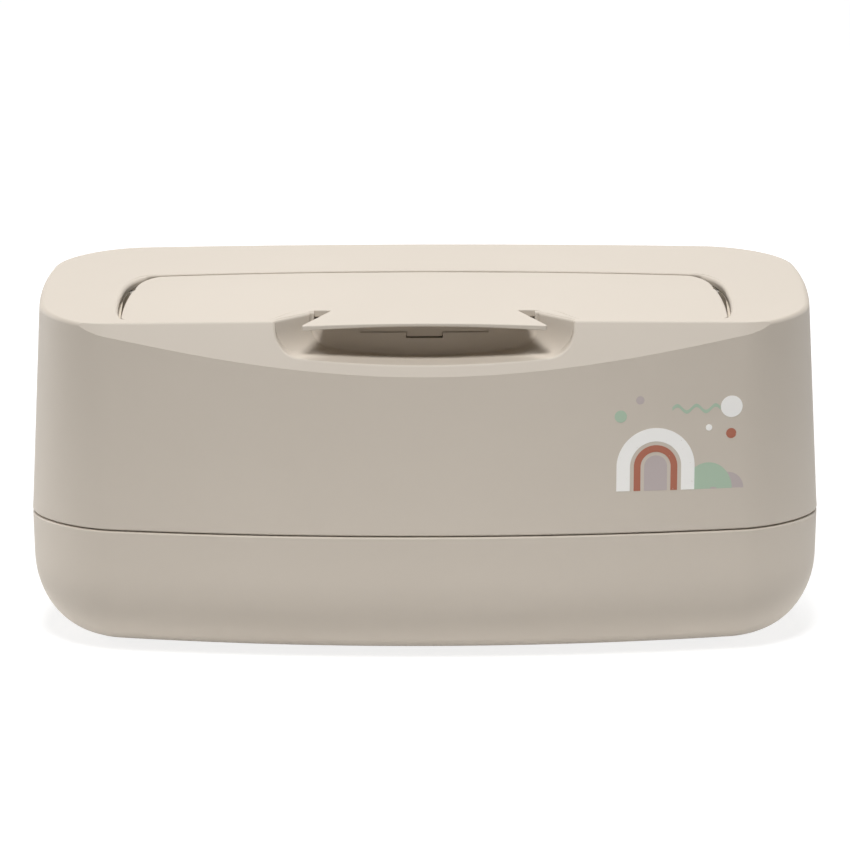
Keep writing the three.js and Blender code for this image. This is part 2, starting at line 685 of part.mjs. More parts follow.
// Plate under the lid with two ribs that hold the seal
function makeLiner() {
  const sealLine = collarWall / 2;
  const rib = (margin) => prism(mouthOutline(margin + grooveRib), sealTopZ - grooveDepth, sealTopZ)
    .subtract(prism(mouthOutline(margin), sealTopZ - grooveDepth - overrun, crownZ));
  const outerRib = rib(sealLine + sealWidth / 2 + seatGap);
  const innerRib = rib(sealLine - sealWidth / 2 - seatGap - grooveRib);
  const plate = prism(linerOutline(), sealTopZ, sealTopZ + linerThickness);
  const holes = stakePlaces().map(([x, y]) => (
    post(x, y, stakeRadius + fit, sealTopZ - overrun, sealTopZ + linerThickness + overrun)));
  return cutBy(joined([plate, outerRib, innerRib]), holes);
}

function linerOutline() {
  const front = linerFrontY;
  const back = sealCentreY + mouthHalfDepth + linerMargin;
  const side = stakeX + stakeBossRadius + linerEdge;
  return mirrored([at(0, front),
    ...arc(side - linerCorner, front + linerCorner, linerCorner, -quarterTurn, 0, 5),
    ...arc(side - linerCorner, back - linerCorner, linerCorner, 0, quarterTurn, 5),
    at(side - linerCorner, back), at(0, back)]);
}

function makeSeal() {
  const sealLine = collarWall / 2;
  const bottom = deckZ + collarHeight + seatGap;
  return prism(mouthOutline(sealLine + sealWidth / 2), bottom, sealTopZ - seatGap)
    .subtract(prism(mouthOutline(sealLine - sealWidth / 2), trayUnderside, crownZ));
}

const box = new THREE.Group();
const add = (name, solid, color, roughness) => box.add(meshOf(name, solid, color, roughness));
add('base_tray', makeTray(), shellColour, 0.55);
['front_left', 'front_right', 'rear_left', 'rear_right'].forEach((corner, i) => (
  add(`pad_${corner}`, makePad(padPlaces[i]), padColour, 0.9)));
add('upper_housing', makeHousing(), shellColour, 0.55);
add('inner_frame', makeFrame(), shellColour, 0.6);
screwPlaces.forEach((place, i) => add(`frame_screw_${i + 1}`, makeScrew(place), screwColour, 0.35));
['left', 'right'].forEach((name, i) => (
  add(`hinge_pin_${name}`, axle(pinRadius, sides[i], pinInnerX, pinOuterX), screwColour, 0.3)));
add('lid_cover', makeLid(), shellColour, 0.55);
add('lid_liner', makeLiner(), shellColour, 0.6);
add('lid_seal', makeSeal(), sealColour, 0.8);

export default box;
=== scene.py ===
# Wet wipes box: bowed tray, tapered housing with a finger scoop, and a hinged lid with a flared thumb lip.
# Shapes are in millimetres in the frame's own axes and become metres when a mesh is made.
import json
import math
import bpy
import bmesh
import numpy as np
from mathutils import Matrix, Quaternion, Vector
from mathutils.geometry import delaunay_2d_cdt


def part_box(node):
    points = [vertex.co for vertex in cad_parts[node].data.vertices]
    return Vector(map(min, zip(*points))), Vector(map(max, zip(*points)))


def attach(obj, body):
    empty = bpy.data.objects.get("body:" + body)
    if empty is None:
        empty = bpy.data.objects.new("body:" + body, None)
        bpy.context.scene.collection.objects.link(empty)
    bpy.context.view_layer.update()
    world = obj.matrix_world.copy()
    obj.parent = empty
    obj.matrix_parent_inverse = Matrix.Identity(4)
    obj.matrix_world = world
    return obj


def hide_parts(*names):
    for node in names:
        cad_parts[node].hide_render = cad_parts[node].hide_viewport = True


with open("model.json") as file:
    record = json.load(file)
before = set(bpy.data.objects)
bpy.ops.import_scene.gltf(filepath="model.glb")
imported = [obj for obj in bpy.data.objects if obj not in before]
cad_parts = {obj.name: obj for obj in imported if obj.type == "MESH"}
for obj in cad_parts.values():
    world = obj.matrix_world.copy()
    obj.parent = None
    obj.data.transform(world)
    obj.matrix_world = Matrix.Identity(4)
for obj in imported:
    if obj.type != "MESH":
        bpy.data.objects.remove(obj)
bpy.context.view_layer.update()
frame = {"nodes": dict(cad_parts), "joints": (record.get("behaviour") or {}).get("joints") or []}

metre = 1000.0
quarterTurn = math.pi / 2
fullTurn = math.pi * 2
tiny = 1e-9

# Sizes that the shells share; cutters pass through by the clearance
form = {
    "width": 254.0, "depth": 106.2,
    "underside": 0.8, "parting": 42.0, "crown": 113.6,
    "topRise": 0.116, "crownRadius": 833.0,
    "sideBow": 4.9, "backBow": 5.5,
    "bowAtParting": 13.3, "bowAtTop": 5.5, "bowAtFloor": 11.7,
    "frontCorner": 24.0, "backCorner": 28.6, "leastCorner": 3.0,
    "wall": 2.4, "fit": 0.3, "partingGap": 0.4,
    "lapHeight": 3.0, "lapInset": 1.4, "clear": 6.0,
}
cutTop = form["crown"] + form["clear"]

# A cutter that leaves a surface at a tangent ends this far above it, so no sliver stays
skin = 0.012

# Points along each kind of line, and spacings of the grids that carry crowned faces
steps = {
    "front": 24, "corner": 20, "side": 10, "back": 20, "disc": 48, "axle": 40,
    "bowl": 22, "bowlInside": 14, "trayWall": 5, "trayRim": 6, "wall": 22, "wallInside": 6, "edge": 9,
    "facet": 81, "scoopFloor": 13, "scoopCorner": 15, "scoopBack": 6, "scoopEdge": 7,
    "bayBack": 9, "bay": 17, "frontEdge": 14, "frontCorner": 12, "lidSide": 16, "rearCorner": 26,
    "seam": 31, "lidStep": 8, "lip": 13, "lipEdge": 4, "lidEdge": 8, "motif": 40, "hill": 44, "ribbon": 60,
}
grid = {"floor": 10, "top": 6, "inside": 12, "lid": 5, "print": 1.2}

padNodes = ["pad_" + place for place in ("front_left", "front_right", "rear_left", "rear_right")]
screwNodes = ["frame_screw_%d" % number for number in range(1, 7)]


def middleOf(node):
    low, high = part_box(node)
    return [(low[axis] + high[axis]) / 2 * metre for axis in (0, 1)]


def topAt(y):
    return form["crown"] + form["topRise"] * y - y * y / (2 * form["crownRadius"])


def blend(first, second, share):
    return first + share * (second - first)


def smoothStep(value, start, end):
    share = np.clip((value - start) / (end - start), 0, 1)
    return share * share * (3 - 2 * share)


def rounding(radius, count, start=0, end=quarterTurn):
    # how far each level of a rounded edge lies inwards and downwards
    return [(radius * (1 - math.cos(turn)), radius * (1 - math.sin(turn)))
            for turn in np.linspace(start, end, count)]


def flat(height):
    return lambda x, y: np.full(len(x), height)


def unit(vectors):
    return vectors / np.maximum(np.linalg.norm(vectors, axis=-1, keepdims=True), tiny)


def swing(start, end, angle, share):
    # turns one direction towards another
    return (np.sin((1 - share) * angle) * start + np.sin(share * angle) * end) / np.sin(angle)


# Outlines are arrays of points in plan; a ring is an outline with heights
def arcPoints(x, y, radius, start, end, count, radiusY=None):
    turn = np.linspace(start, end, count, endpoint=False)
    radiusY = radius if radiusY is None else radiusY
    return np.column_stack([x + radius * np.cos(turn), y + radiusY * np.sin(turn)])


def linePoints(start, end, count, bow=0):
    # without the end point; a bow pushes the middle out to the right
    share = np.linspace(0, 1, count, endpoint=False)[:, None]
    return blend(np.array(start), np.array(end), share) + 4 * bow * share * (1 - share) * [1, 0]


def mirrored(half):
    # adds the left half, without repeating the points in the middle
    back = half[::-1]
    return np.vstack([half, back[back[:, 0] != 0] * [-1, 1]])


def ring(outline, heights):
    return np.column_stack([outline, np.broadcast_to(heights, len(outline))])


def upright(section, x):
    # turns an outline of (y, z) into a ring across the box
    return np.column_stack([np.full(len(section), x), section])


def outwardNormals(outline):
    # mean of the two edges at each point, turned outwards; outlines run anticlockwise
    ahead = unit(np.roll(outline, -1, 0) - outline)
    mean = unit(ahead + np.roll(ahead, 1, 0))
    return np.column_stack([mean[:, 1], -mean[:, 0]])


def boxSection(inset, frontBow):
    side = form["width"] / 2 - form["sideBow"] - inset
    front = form["depth"] / 2 - frontBow - inset
    back = form["depth"] / 2 - form["backBow"] - inset
    frontRadius = max(form["frontCorner"] - inset, form["leastCorner"])
    backRadius = max(form["backCorner"] - inset, form["leastCorner"])
    half = np.vstack([
        linePoints((0, -front), (side - frontRadius, -front), steps["front"]),
        arcPoints(side - frontRadius, frontRadius - front, frontRadius, -quarterTurn, 0, steps["corner"]),
        linePoints((side, frontRadius - front), (side, back - backRadius), steps["side"]),
        arcPoints(side - backRadius, back - backRadius, backRadius, 0, quarterTurn, steps["corner"]),
        linePoints((side - backRadius, back), (0, back), steps["back"]),
        [(0, back)],
    ])
    x, y = half.T
    across = x / side
    along = np.where(y < 0, y / front, y / back)
    bow = np.where(y < 0, frontBow, form["backBow"])
    return mirrored(np.column_stack([
        x + form["sideBow"] * (1 - along ** 2) * across,
        y + bow * (1 - across ** 2) * along,
    ]))


def sectionRing(z, inset):
    frontBow = np.interp(z, [form["underside"], form["parting"], form["crown"]],
                         [form["bowAtFloor"], form["bowAtParting"], form["bowAtTop"]])
    return ring(boxSection(inset, frontBow), z)


# Meshes
def gridInside(outline, spacing, margin=0.55):
    # grid points inside an outline, without those too near to it
    low, high = outline.min(0), outline.max(0)
    xs, ys = (np.arange(math.ceil(low[axis] / spacing), math.floor(high[axis] / spacing) + 1) * spacing
              for axis in (0, 1))
    points = np.stack(np.meshgrid(xs, ys), -1).reshape(-1, 1, 2)
    start, end = outline[None], np.roll(outline, -1, 0)[None]
    edge = end - start
    crosses = (start[..., 1] > points[..., 1]) != (end[..., 1] > points[..., 1])
    rise = np.where(edge[..., 1] == 0, 1, edge[..., 1])
    reach = start[..., 0] + (points[..., 1] - start[..., 1]) / rise * edge[..., 0]
    inside = (crosses & (points[..., 0] < reach)).sum(1) % 2 == 1
    share = ((points - start) * edge).sum(-1) / np.maximum((edge ** 2).sum(-1), tiny)
    near = start + np.clip(share, 0, 1)[..., None] * edge
    distance = np.linalg.norm(points - near, axis=-1).min(1)
    return points[inside & (distance > spacing * margin), 0]


def capFaces(outline, spacing, onlyInside=1, tolerance=1e-7):
    # triangles over a closed outline, on a grid of points where a spacing is given
    inner = gridInside(outline, spacing) if spacing else np.zeros((0, 2))
    every = [Vector(point) for point in np.vstack([outline, inner])]
    border = list(range(len(outline)))
    points, _, faces, _, _, _ = delaunay_2d_cdt(every, [], [border], onlyInside, tolerance)
    if len(points) != len(every):
        raise ValueError("an outline crosses itself")
    return inner, [tuple(face) for face in faces]


def loft(rings, startHeight=None, endHeight=None, spacing=grid["top"], flatten=(0, 1), place=None):
    # closed solid through rings; its caps follow a height function or stay plain
    count = len(rings[0])
    points = [np.vstack(rings)]
    faces = []
    for step in range(len(rings) - 1):
        first = step * count + np.arange(count)
        second = step * count + np.roll(np.arange(count), -1)
        faces += np.column_stack([first, second, second + count, first + count]).tolist()
    total = len(rings) * count
    ends = (0, rings[0], startHeight, True), (total - count, rings[-1], endHeight, False)
    for base, outline, height, turned in ends:
        inner, triangles = capFaces(outline[:, flatten], spacing if height else None)
        if len(inner):
            points.append(np.column_stack([inner, height(inner[:, 0], inner[:, 1])]))
        index = np.concatenate([base + np.arange(count), total + np.arange(len(inner))])
        total += len(inner)
        faces += [tuple(index[list(face[::-1] if turned else face)]) for face in triangles]
    points = np.vstack(points)
    return meshObject(place(points) if place else points, faces)


def newObject(name, data):
    made = bpy.data.objects.new(name, data)
    bpy.context.scene.collection.objects.link(made)
    return made


def meshObject(points, faces):
    mesh = bpy.data.meshes.new("shape")
    mesh.from_pydata((np.asarray(points) / metre).tolist(), [], faces)
    work = bmesh.new()
    work.from_mesh(mesh)
    bmesh.ops.recalc_face_normals(work, faces=work.faces)
    work.to_mesh(mesh)
    work.free()
    mesh.attributes.new("tool", "INT", "FACE")
    return newObject("shape", mesh)


def prism(outline, fromZ, toZ):
    return loft([ring(outline, fromZ), ring(outline, toZ)])


def block(low, high):
    (x0, y0, z0), (x1, y1, z1) = low, high
    return prism(np.array([(x0, y0), (x1, y0), (x1, y1), (x0, y1)], float), z0, z1)


def disc(x, y, radius, fromZ, toZ):
    return prism(arcPoints(x, y, radius, 0, fullTurn, steps["disc"]), fromZ, toZ)


def toolNumbers(mesh):
    numbers = np.zeros(len(mesh.polygons), np.int32)
    mesh.attributes["tool"].data.foreach_get("value", numbers)
    return numbers


def combine(target, tool, operation):
    # each tool's faces get a number, by which markSharp finds the edges that it cut
    numbers = toolNumbers(tool.data) + toolNumbers(target.data).max() + 1
    tool.data.attributes["tool"].data.foreach_set("value", numbers)
    modifier = target.modifiers.new("combine", "BOOLEAN")
    modifier.operation = operation
    modifier.solver = "MANIFOLD"
    modifier.object = tool
    applyModifiers(target)
    bpy.data.objects.remove(tool)


def applyModifiers(target):
    graph = bpy.context.evaluated_depsgraph_get()
    mesh = bpy.data.meshes.new_from_object(target.evaluated_get(graph))
    target.modifiers.clear()
    target.data = mesh


def cut(target, *tools):
    for tool in tools:
        combine(target, tool, "DIFFERENCE")
    return target


def join(target, *others):
    for other in others:
        combine(target, other, "UNION")
    return target


def markSharp(mesh, sharpAngle=math.radians(35), cutAngle=0.14, weld=2e-6):
    # smooth shading, broken at sharp edges and at softer creases that a tool cut
    work = bmesh.new()
    work.from_mesh(mesh)
    bmesh.ops.remove_doubles(work, verts=work.verts, dist=weld)
    number = work.faces.layers.int["tool"]
    for face in work.faces:
        face.smooth = True
    for edge in work.edges:
        if len(edge.link_faces) == 2:
            first, second = edge.link_faces
            limit = sharpAngle if first[number] == second[number] else cutAngle
            edge.smooth = first.normal.angle(second.normal, 0) < limit
    work.to_mesh(mesh)
    work.free()
    mesh.attributes.remove(mesh.attributes["tool"])


def register(piece, name, body, replaced):
    piece.name = piece.data.name = name
    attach(piece, body)
    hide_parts(*replaced)
    print(name, "has", len(piece.data.polygons), "faces")


def dress(piece, material):
    piece.data.materials.clear()
    piece.data.materials.append(material)


def finishPiece(piece, name, material, body, replaced):
    markSharp(piece.data)
    weighted = piece.modifiers.new("normals", "WEIGHTED_NORMAL")
    weighted.keep_sharp = True
    applyModifiers(piece)
    dress(piece, material)
    register(piece, name, body, replaced)


# Materials
def hexColour(code):
    channels = [int(code[i:i + 2], 16) / 255 for i in (0, 2, 4)]
    return [c / 12.92 if c <= 0.04045 else ((c + 0.055) / 1.055) ** 2.4 for c in channels] + [1.0]


def addNode(tree, kind, settings=None, links=None):
    node = tree.nodes.new(kind)
    for name, value in (settings or {}).items():
        if isinstance(name, int) or name in node.inputs:
            node.inputs[name].default_value = value
        else:
            setattr(node, name, value)
    for name, source in (links or {}).items():
        tree.links.new(source, node.inputs[name])
    return node


def calculate(tree, operation, *terms):
    # each term is a number or another node's socket
    numbers = {place: term for place, term in enumerate(terms) if isinstance(term, float)}
    sockets = {place: term for place, term in enumerate(terms) if not isinstance(term, float)}
    return addNode(tree, "ShaderNodeMath", {"operation": operation, **numbers}, sockets).outputs["Value"]


def newMaterial(name):
    material = bpy.data.materials.new(name)
    material.use_nodes = True
    tree = material.node_tree
    tree.nodes.clear()
    place = addNode(tree, "ShaderNodeTexCoord").outputs["Object"]
    return material, tree, place


def toSurface(tree, shader):
    addNode(tree, "ShaderNodeOutputMaterial", links={"Surface": shader})


def principled(material, settings, links):
    tree = material.node_tree
    toSurface(tree, addNode(tree, "ShaderNodeBsdfPrincipled", settings, links).outputs["BSDF"])
    return material


def speckle(tree, place, scale, detail):
    noise = addNode(tree, "ShaderNodeTexNoise", {"Scale": scale, "Detail": detail}, {"Vector": place})
    return noise.outputs["Fac"]


def tinted(tree, factor, low, high):
    # fades between two (position, colour) stops
    ramp = addNode(tree, "ShaderNodeValToRGB", links={"Fac": factor})
    for stop, (position, code) in zip(ramp.color_ramp.elements, (low, high)):
        stop.position, stop.color = position, hexColour(code)
    return ramp.outputs["Color"]


def ranged(tree, value, settings):
    return addNode(tree, "ShaderNodeMapRange", settings, {"Value": value}).outputs["Result"]


def relief(tree, height, strength, distance):
    return addNode(tree, "ShaderNodeBump", {"Strength": strength, "Distance": distance},
                   {"Height": height}).outputs["Normal"]


def mouldedPlastic(name, look):
    # Polypropylene moulded against a spark-eroded tool: satin, finely pebbled, nearly even in colour
    material, tree, place = newMaterial(name)
    cloud = speckle(tree, place, scale=14.0, detail=3.0)
    # the real grain of about 0.1 mm is drawn at 0.5 mm, so that it shows as a soft break in the gloss
    pebble = speckle(tree, place, 1 / look["grain"], detail=2.0)
    return principled(material, {"Roughness": look["roughness"], "IOR": plastic["ior"]}, {
        "Base Color": tinted(tree, cloud, (0.35, look["shade"]), (0.65, look["colour"])),
        "Normal": relief(tree, pebble, strength=0.12, distance=0.0001)})


def softRubber(name, look):
    # Rubber or silicone pressed in a plain steel mould: matt, with a faint dusty bloom and no grain
    material, tree, place = newMaterial(name)
    dust = speckle(tree, place, scale=180.0, detail=5.0)
    return principled(material, {
        "Roughness": look["roughness"], "IOR": 1.42,
        "Subsurface Weight": look["depth"], "Subsurface Scale": 0.001,
    }, {"Base Color": tinted(tree, dust, (0.4, look["colour"]), (0.75, look["bloom"])),
        "Normal": relief(tree, dust, strength=0.1, distance=0.0001)})


def plainSteel(name, look):
    # Drawn or plated steel: metal with fine marks, long ones along X where it was drawn through a die
    material, tree, place = newMaterial(name)
    turned = addNode(tree, "ShaderNodeMapping", {
        "Scale": (look["scale"] * look["stretch"], look["scale"], look["scale"])}, {"Vector": place})
    marks = speckle(tree, turned.outputs["Vector"], scale=1.0, detail=3.0)
    gloss = ranged(tree, marks, {
        "To Min": look["roughness"] - steel["spread"], "To Max": look["roughness"] + steel["spread"]})
    return principled(material, {"Base Color": hexColour(look["colour"]), "Metallic": 1.0}, {
        "Roughness": gloss, "Normal": relief(tree, marks, strength=0.15, distance=0.00005)})


def padInk(name, colour):
    # Ink laid on by a silicone stamp: flat colour, as satin as the plastic below, thin in tiny specks
    material, tree, place = newMaterial(name)
    specks = speckle(tree, place, scale=1500.0, detail=2.0)
    cover = ranged(tree, specks, {"From Min": 0.2, "From Max": 0.3})
    # sockets 6 and 7 hold the two colours, and 2 gives the mixed one
    mix = addNode(tree, "ShaderNodeMix", {
        "data_type": "RGBA", 6: hexColour(plastic["shell"]["colour"]), 7: hexColour(colour)}, {0: cover})
    return principled(material, {"Roughness": 0.5, "IOR": plastic["ior"]}, {"Base Color": mix.outputs[2]})


plastic = {
    "ior": 1.49,
    "shell": {"colour": "cec4b7", "shade": "ccc2b5", "grain": 0.0005, "roughness": 0.55},
    "frame": {"colour": "c9bead", "shade": "c7bcab", "grain": 0.0005, "roughness": 0.6},
}
rubber = {
    "pads": {"colour": "3f3d3b", "bloom": "55524f", "roughness": 0.7, "depth": 0.0},
    "seal": {"colour": "dedad2", "bloom": "e4e1da", "roughness": 0.45, "depth": 0.3},
}
steel = {
    "spread": 0.08,
    "pins": {"colour": "75716b", "roughness": 0.55, "scale": 9000.0, "stretch": 0.04},
    "screws": {"colour": "c3c4c2", "roughness": 0.34, "scale": 2500.0, "stretch": 1.0},
}
shellPlastic = mouldedPlastic("mouldedPolypropyleneShell", plastic["shell"])
framePlastic = mouldedPlastic("mouldedPolypropyleneFrame", plastic["frame"])
padRubber = softRubber("mouldedRubberPads", rubber["pads"])
sealSilicone = softRubber("pressedSiliconeSeal", rubber["seal"])
pinSteel = plainSteel("phosphatedSteelPins", steel["pins"])
screwSteel = plainSteel("zincPlatedScrews", steel["screws"])

tray = {
    "curveHeight": 27.7, "curveWidth": 22.2, "taper": 0.2, "floor": 2.4, "edge": 0.7,
    "lapRoot": 4.0, "lapLead": 0.3, "padRadius": 6.0, "padRecess": 1.0,
}


def makeTray():
    curveTop = form["underside"] + tray["curveHeight"]
    rim = form["parting"] - form["partingGap"] / 2
    lapTop = form["parting"] + form["lapHeight"]

    def bowl(inset, floor, count):
        rings = []
        for turn in np.linspace(quarterTurn, 0, count):
            height = curveTop - (tray["curveHeight"] - floor) * math.sin(turn)
            reach = tray["taper"] + inset + (tray["curveWidth"] - inset) * (1 - math.cos(turn))
            rings.append(sectionRing(height, reach))
        return rings

    walls = [sectionRing(z, tray["taper"] * (rim - z) / (rim - curveTop))
             for z in np.linspace(curveTop, rim - tray["edge"], steps["trayWall"])[1:]]
    edge = [sectionRing(rim - down, inset) for inset, down in rounding(tray["edge"], steps["trayRim"])[1:]]
    body = loft(bowl(0, 0, steps["bowl"]) + walls + edge, flat(form["underside"]), spacing=grid["floor"])
    levels = ((rim - tray["lapRoot"], 0), (lapTop - tray["lapLead"], 0), (lapTop, tray["lapLead"]))
    join(body, loft([sectionRing(z, form["lapInset"] + inset) for z, inset in levels]))
    hollow = bowl(form["wall"], tray["floor"], steps["bowlInside"])
    cut(body, loft(hollow + [sectionRing(lapTop + form["clear"], form["wall"])]))
    pocketTop = form["underside"] + tray["padRecess"]
    for x, y in map(middleOf, padNodes):
        cut(body, disc(x, y, tray["padRadius"] + form["fit"], -form["clear"], pocketTop))
    finishPiece(body, "trayShell", shellPlastic, "tray", ["base_tray"])


housing = {
    "taper": 4.4, "topEdge": 2.0, "frontEdge": 1.2, "frontY": (-15.0, -38.0), "lowerEdge": 0.6,
    "brimMargin": 1.2,
    "facetTopY": -42.6, "facetRun": 0.52, "facetHollow": 1.3, "facetReach": 90.0, "facetEdge": 1.2,
    "tipX": 97.0, "tipReach": 10.0, "tipBack": 1.35, "tipLimit": 1.2,
    "narrowX": (88.0, 106.0), "narrowBy": 0.6,
    "scoopHalf": 45.9, "scoopBackHalf": 35.8, "scoopFlankY": -40.5, "scoopBackY": -32.6,
    "scoopFrontY": -58.0, "scoopFloor": 95.2, "scoopSag": 1.9, "scoopCorner": 8.5,
    "scoopBackRadius": 1.2, "scoopHeel": 0.5,
    "scoopWall": 2.0, "scoopWallTop": 106.6, "scoopEdge": 1.0, "scoopReach": 9.0,
    "rimEdge": 0.9, "rimLow": 105.8, "rimFlare": math.radians(84),
    "notchHalf": 34.4, "backWall": 106.38, "recessHalf": 20.0, "recessDepth": 1.0, "recessHeight": 3.8,
    "catchHalf": 5.7, "catchHeight": 5.6, "through": 2.0,
    "bossRadius": 3.4, "boreRadius": 1.55, "boreDepth": 6.3, "earTop": 101.59,
}
opening = {
    "half": 95.9, "frontHalf": 94.9, "sideBow": 0.6, "frontY": -40.0, "frontCorner": 4.4,
    "rearWide": 9.0, "rearLong": 19.0, "rim": 2.0, "gap": 0.45, "low": 101.0,
    "seamY": 10.3, "seamBow": 5.3, "seamReach": 89.0, "seamBand": 0.6,
    "sideEdge": 1.4, "rearEdge": 0.5, "frontEdge": 0.35,
    "sideX": (84.0, 91.0), "sideY": (-38.0, -31.0),
}
lidHinge = next(joint for joint in frame["joints"] if joint["name"] == "lid_hinge")
hinge = {"y": lidHinge["pos_m"][1] * metre, "z": lidHinge["pos_m"][2] * metre}
slant = math.atan(housing["facetRun"])
facetNormal = np.array([-math.cos(slant), math.sin(slant)])


def facetEdgeY(x):
    # hollow in the middle, and bent back again where it runs out into the brim
    share = np.maximum(1 - (x / housing["facetReach"]) ** 2, -1)
    tip = np.clip((np.abs(x) - housing["tipX"]) / housing["tipReach"], 0, housing["tipLimit"])
    return housing["facetTopY"] + housing["facetHollow"] * share + housing["tipBack"] * tip ** 2


def facetY(x, z):
    edge = facetEdgeY(x)
    return edge - housing["facetRun"] * (topAt(edge) - z)


def facetTool(setBack, edgeRadius):
    # all in front of the slanted facet, with the rounded edge that it leaves on the top
    half = form["width"] / 2 + 1
    outlines = []
    for x in np.linspace(-half, half, steps["facet"]):
        edge = facetEdgeY(x) + setBack
        radius = edgeRadius * (1 - housing["narrowBy"] * smoothStep(abs(x), *housing["narrowX"]))
        rise = math.atan(form["topRise"] - edge / form["crownRadius"])
        topNormal = np.array([-math.sin(rise), math.cos(rise)])
        corner = np.array([edge, topAt(edge)])
        centre = corner - radius * (facetNormal + topNormal) / (1 + facetNormal @ topNormal)
        foot = edge - housing["facetRun"] * (topAt(edge) - form["parting"])
        turns = np.linspace(math.pi - slant, quarterTurn + rise, steps["edge"] if radius else 1)
        bend = centre + radius * np.column_stack([np.cos(turns), np.sin(turns)])
        if radius:
            bend[-1, 1] += skin
        outlines.append(upright(np.vstack([
            [(-form["depth"], form["parting"]), (foot, form["parting"])], bend,
            [(bend[-1, 0], cutTop), (-form["depth"], cutTop)],
        ]), x))
    return loft(outlines, flatten=(1, 2))


def scoopSection(half, lift, margin):
    floor = housing["scoopFloor"] - margin + lift
    radius = housing["scoopCorner"]
    share = np.linspace(0, 1, steps["scoopFloor"])[:-1]
    turn = np.linspace(0, quarterTurn, steps["scoopCorner"])
    right = np.vstack([
        np.column_stack([(half - radius) * share, floor + housing["scoopSag"] * share ** 2]),
        np.column_stack([half - radius + radius * np.sin(turn),
                         floor + housing["scoopSag"] + radius * (1 - np.cos(turn))]),
        [(half, housing["scoopWallTop"]), (half, cutTop)],
    ])
    return mirrored(right)


def standing(section, y):
    # turns an outline of (x, z) into a ring along the box
    return np.column_stack([section[:, 0], np.broadcast_to(y, len(section)), section[:, 1]])


def scoopTool(margin, edge):
    # hollow of the finger scoop from its back wall to the facet, where the edge flares out
    backY = housing["scoopBackY"] + margin
    radius = housing["scoopBackRadius"]
    rings = []
    for inset, forward in rounding(radius, steps["scoopBack"], quarterTurn, 0):
        half = housing["scoopBackHalf"] + margin - inset
        section = scoopSection(half, inset * housing["scoopHeel"], margin)
        rings.append(standing(section, backY - forward))
    section = scoopSection(housing["scoopHalf"] + margin, 0, margin)
    rings.append(standing(section, housing["scoopFlankY"]))
    if not edge:
        return loft(rings + [standing(section, -form["depth"])], flatten=(0, 2))
    faceNormal = np.array([0, *facetNormal])
    wallNormal = standing(-outwardNormals(section), 0)
    # the two topmost points lie on the upright flanks
    middle = len(section) // 2
    wallNormal[[middle, middle + 1]] = [[-1, 0, 0], [1, 0, 0]]
    corner = standing(section, facetY(*section.T))
    dot = (wallNormal @ faceNormal)[:, None]
    centre = corner - edge * (wallNormal + faceNormal) / (1 + dot)
    for share in np.linspace(0, 1, steps["scoopEdge"]):
        turned = swing(wallNormal, faceNormal, np.arccos(dot), share)
        rings.append(centre + edge * turned + (faceNormal * skin if share == 1 else 0))
    rings.append(rings[-1] + faceNormal * housing["scoopReach"])
    return loft(rings, flatten=(0, 2))


def scoopPlan():
    half, backHalf, backY = housing["scoopHalf"], housing["scoopBackHalf"], housing["scoopBackY"]
    flankY, radius = housing["scoopFlankY"], housing["scoopBackRadius"]
    return mirrored(np.vstack([
        linePoints((half, housing["scoopFrontY"]), (half, flankY), steps["scoopBack"]),
        linePoints((half, flankY), (backHalf, backY - radius), steps["scoopBack"]),
        [(backHalf - inset, backY - down) for inset, down in rounding(radius, steps["scoopEdge"])],
        [(0, backY)],
    ]))


def edgeTool(outline, radius, belowZ, sweep=lambda points, heights: points):
    # cutter along an outline that flares where it leaves the top, which rounds the edge it cuts
    normals = outwardNormals(outline)
    radius = np.broadcast_to(radius, len(outline))
    top = topAt(outline[:, 1])
    rings = []
    for share in (0, 0.5):
        heights = blend(belowZ, top - radius, share)
        rings.append(ring(sweep(outline, heights), heights))
    levels = rounding(radius, steps["edge"], end=housing["rimFlare"])
    for level, (reach, down) in enumerate(levels, 1):
        heights = top - down + (skin if level == len(levels) else 0)
        rings.append(ring(sweep(outline, heights) + normals * reach[:, None], heights))
    return loft(rings + [ring(rings[-1][:, :2], cutTop)])


def seamYAt(x):
    return opening["seamY"] - opening["seamBow"] * (x / opening["seamReach"]) ** 2


def bayPoints(offset, frontY):
    # line behind the scoop and round its flank, out to the front edge
    innerX = housing["scoopBackHalf"] + offset
    outerX = housing["scoopHalf"] + offset + opening["rim"]
    backY = housing["scoopBackY"] + offset
    share = np.linspace(0, 1, steps["bay"])
    bend = np.column_stack([blend(innerX, outerX, share),
                            blend(backY, frontY, (1 - np.cos(share * math.pi)) / 2)])
    return np.vstack([linePoints((0, backY), (innerX, backY), steps["bayBack"]), bend])


def frontAndSide(offset, half, frontY, radius, sideEnd, bow):
    # from behind the scoop along the front edge, round its corner and back along the side
    bay = bayPoints(offset, frontY)
    return np.vstack([
        bay[:-1],
        linePoints(bay[-1], (half - radius, frontY), steps["frontEdge"]),
        arcPoints(half - radius, frontY + radius, radius, -quarterTurn, 0, steps["frontCorner"]),
        linePoints((half, frontY + radius), sideEnd, steps["lidSide"], bow),
    ])


def rearAndSeam(cornerX, cornerY, wide, long, gap=0):
    x = np.linspace(cornerX, 0, steps["seam"])
    return np.vstack([
        arcPoints(cornerX, cornerY, wide, 0, quarterTurn, steps["rearCorner"], long),
        np.column_stack([x, seamYAt(x) + gap]),
    ])


def openingOutline():
    cornerX = opening["half"] - opening["rearWide"]
    cornerY = seamYAt(cornerX) + opening["gap"] - opening["rearLong"]
    return mirrored(np.vstack([
        frontAndSide(opening["rim"], opening["frontHalf"], opening["frontY"], opening["frontCorner"],
                     (opening["half"], cornerY), opening["sideBow"]),
        rearAndSeam(cornerX, cornerY, opening["rearWide"], opening["rearLong"], opening["gap"]),
    ]))


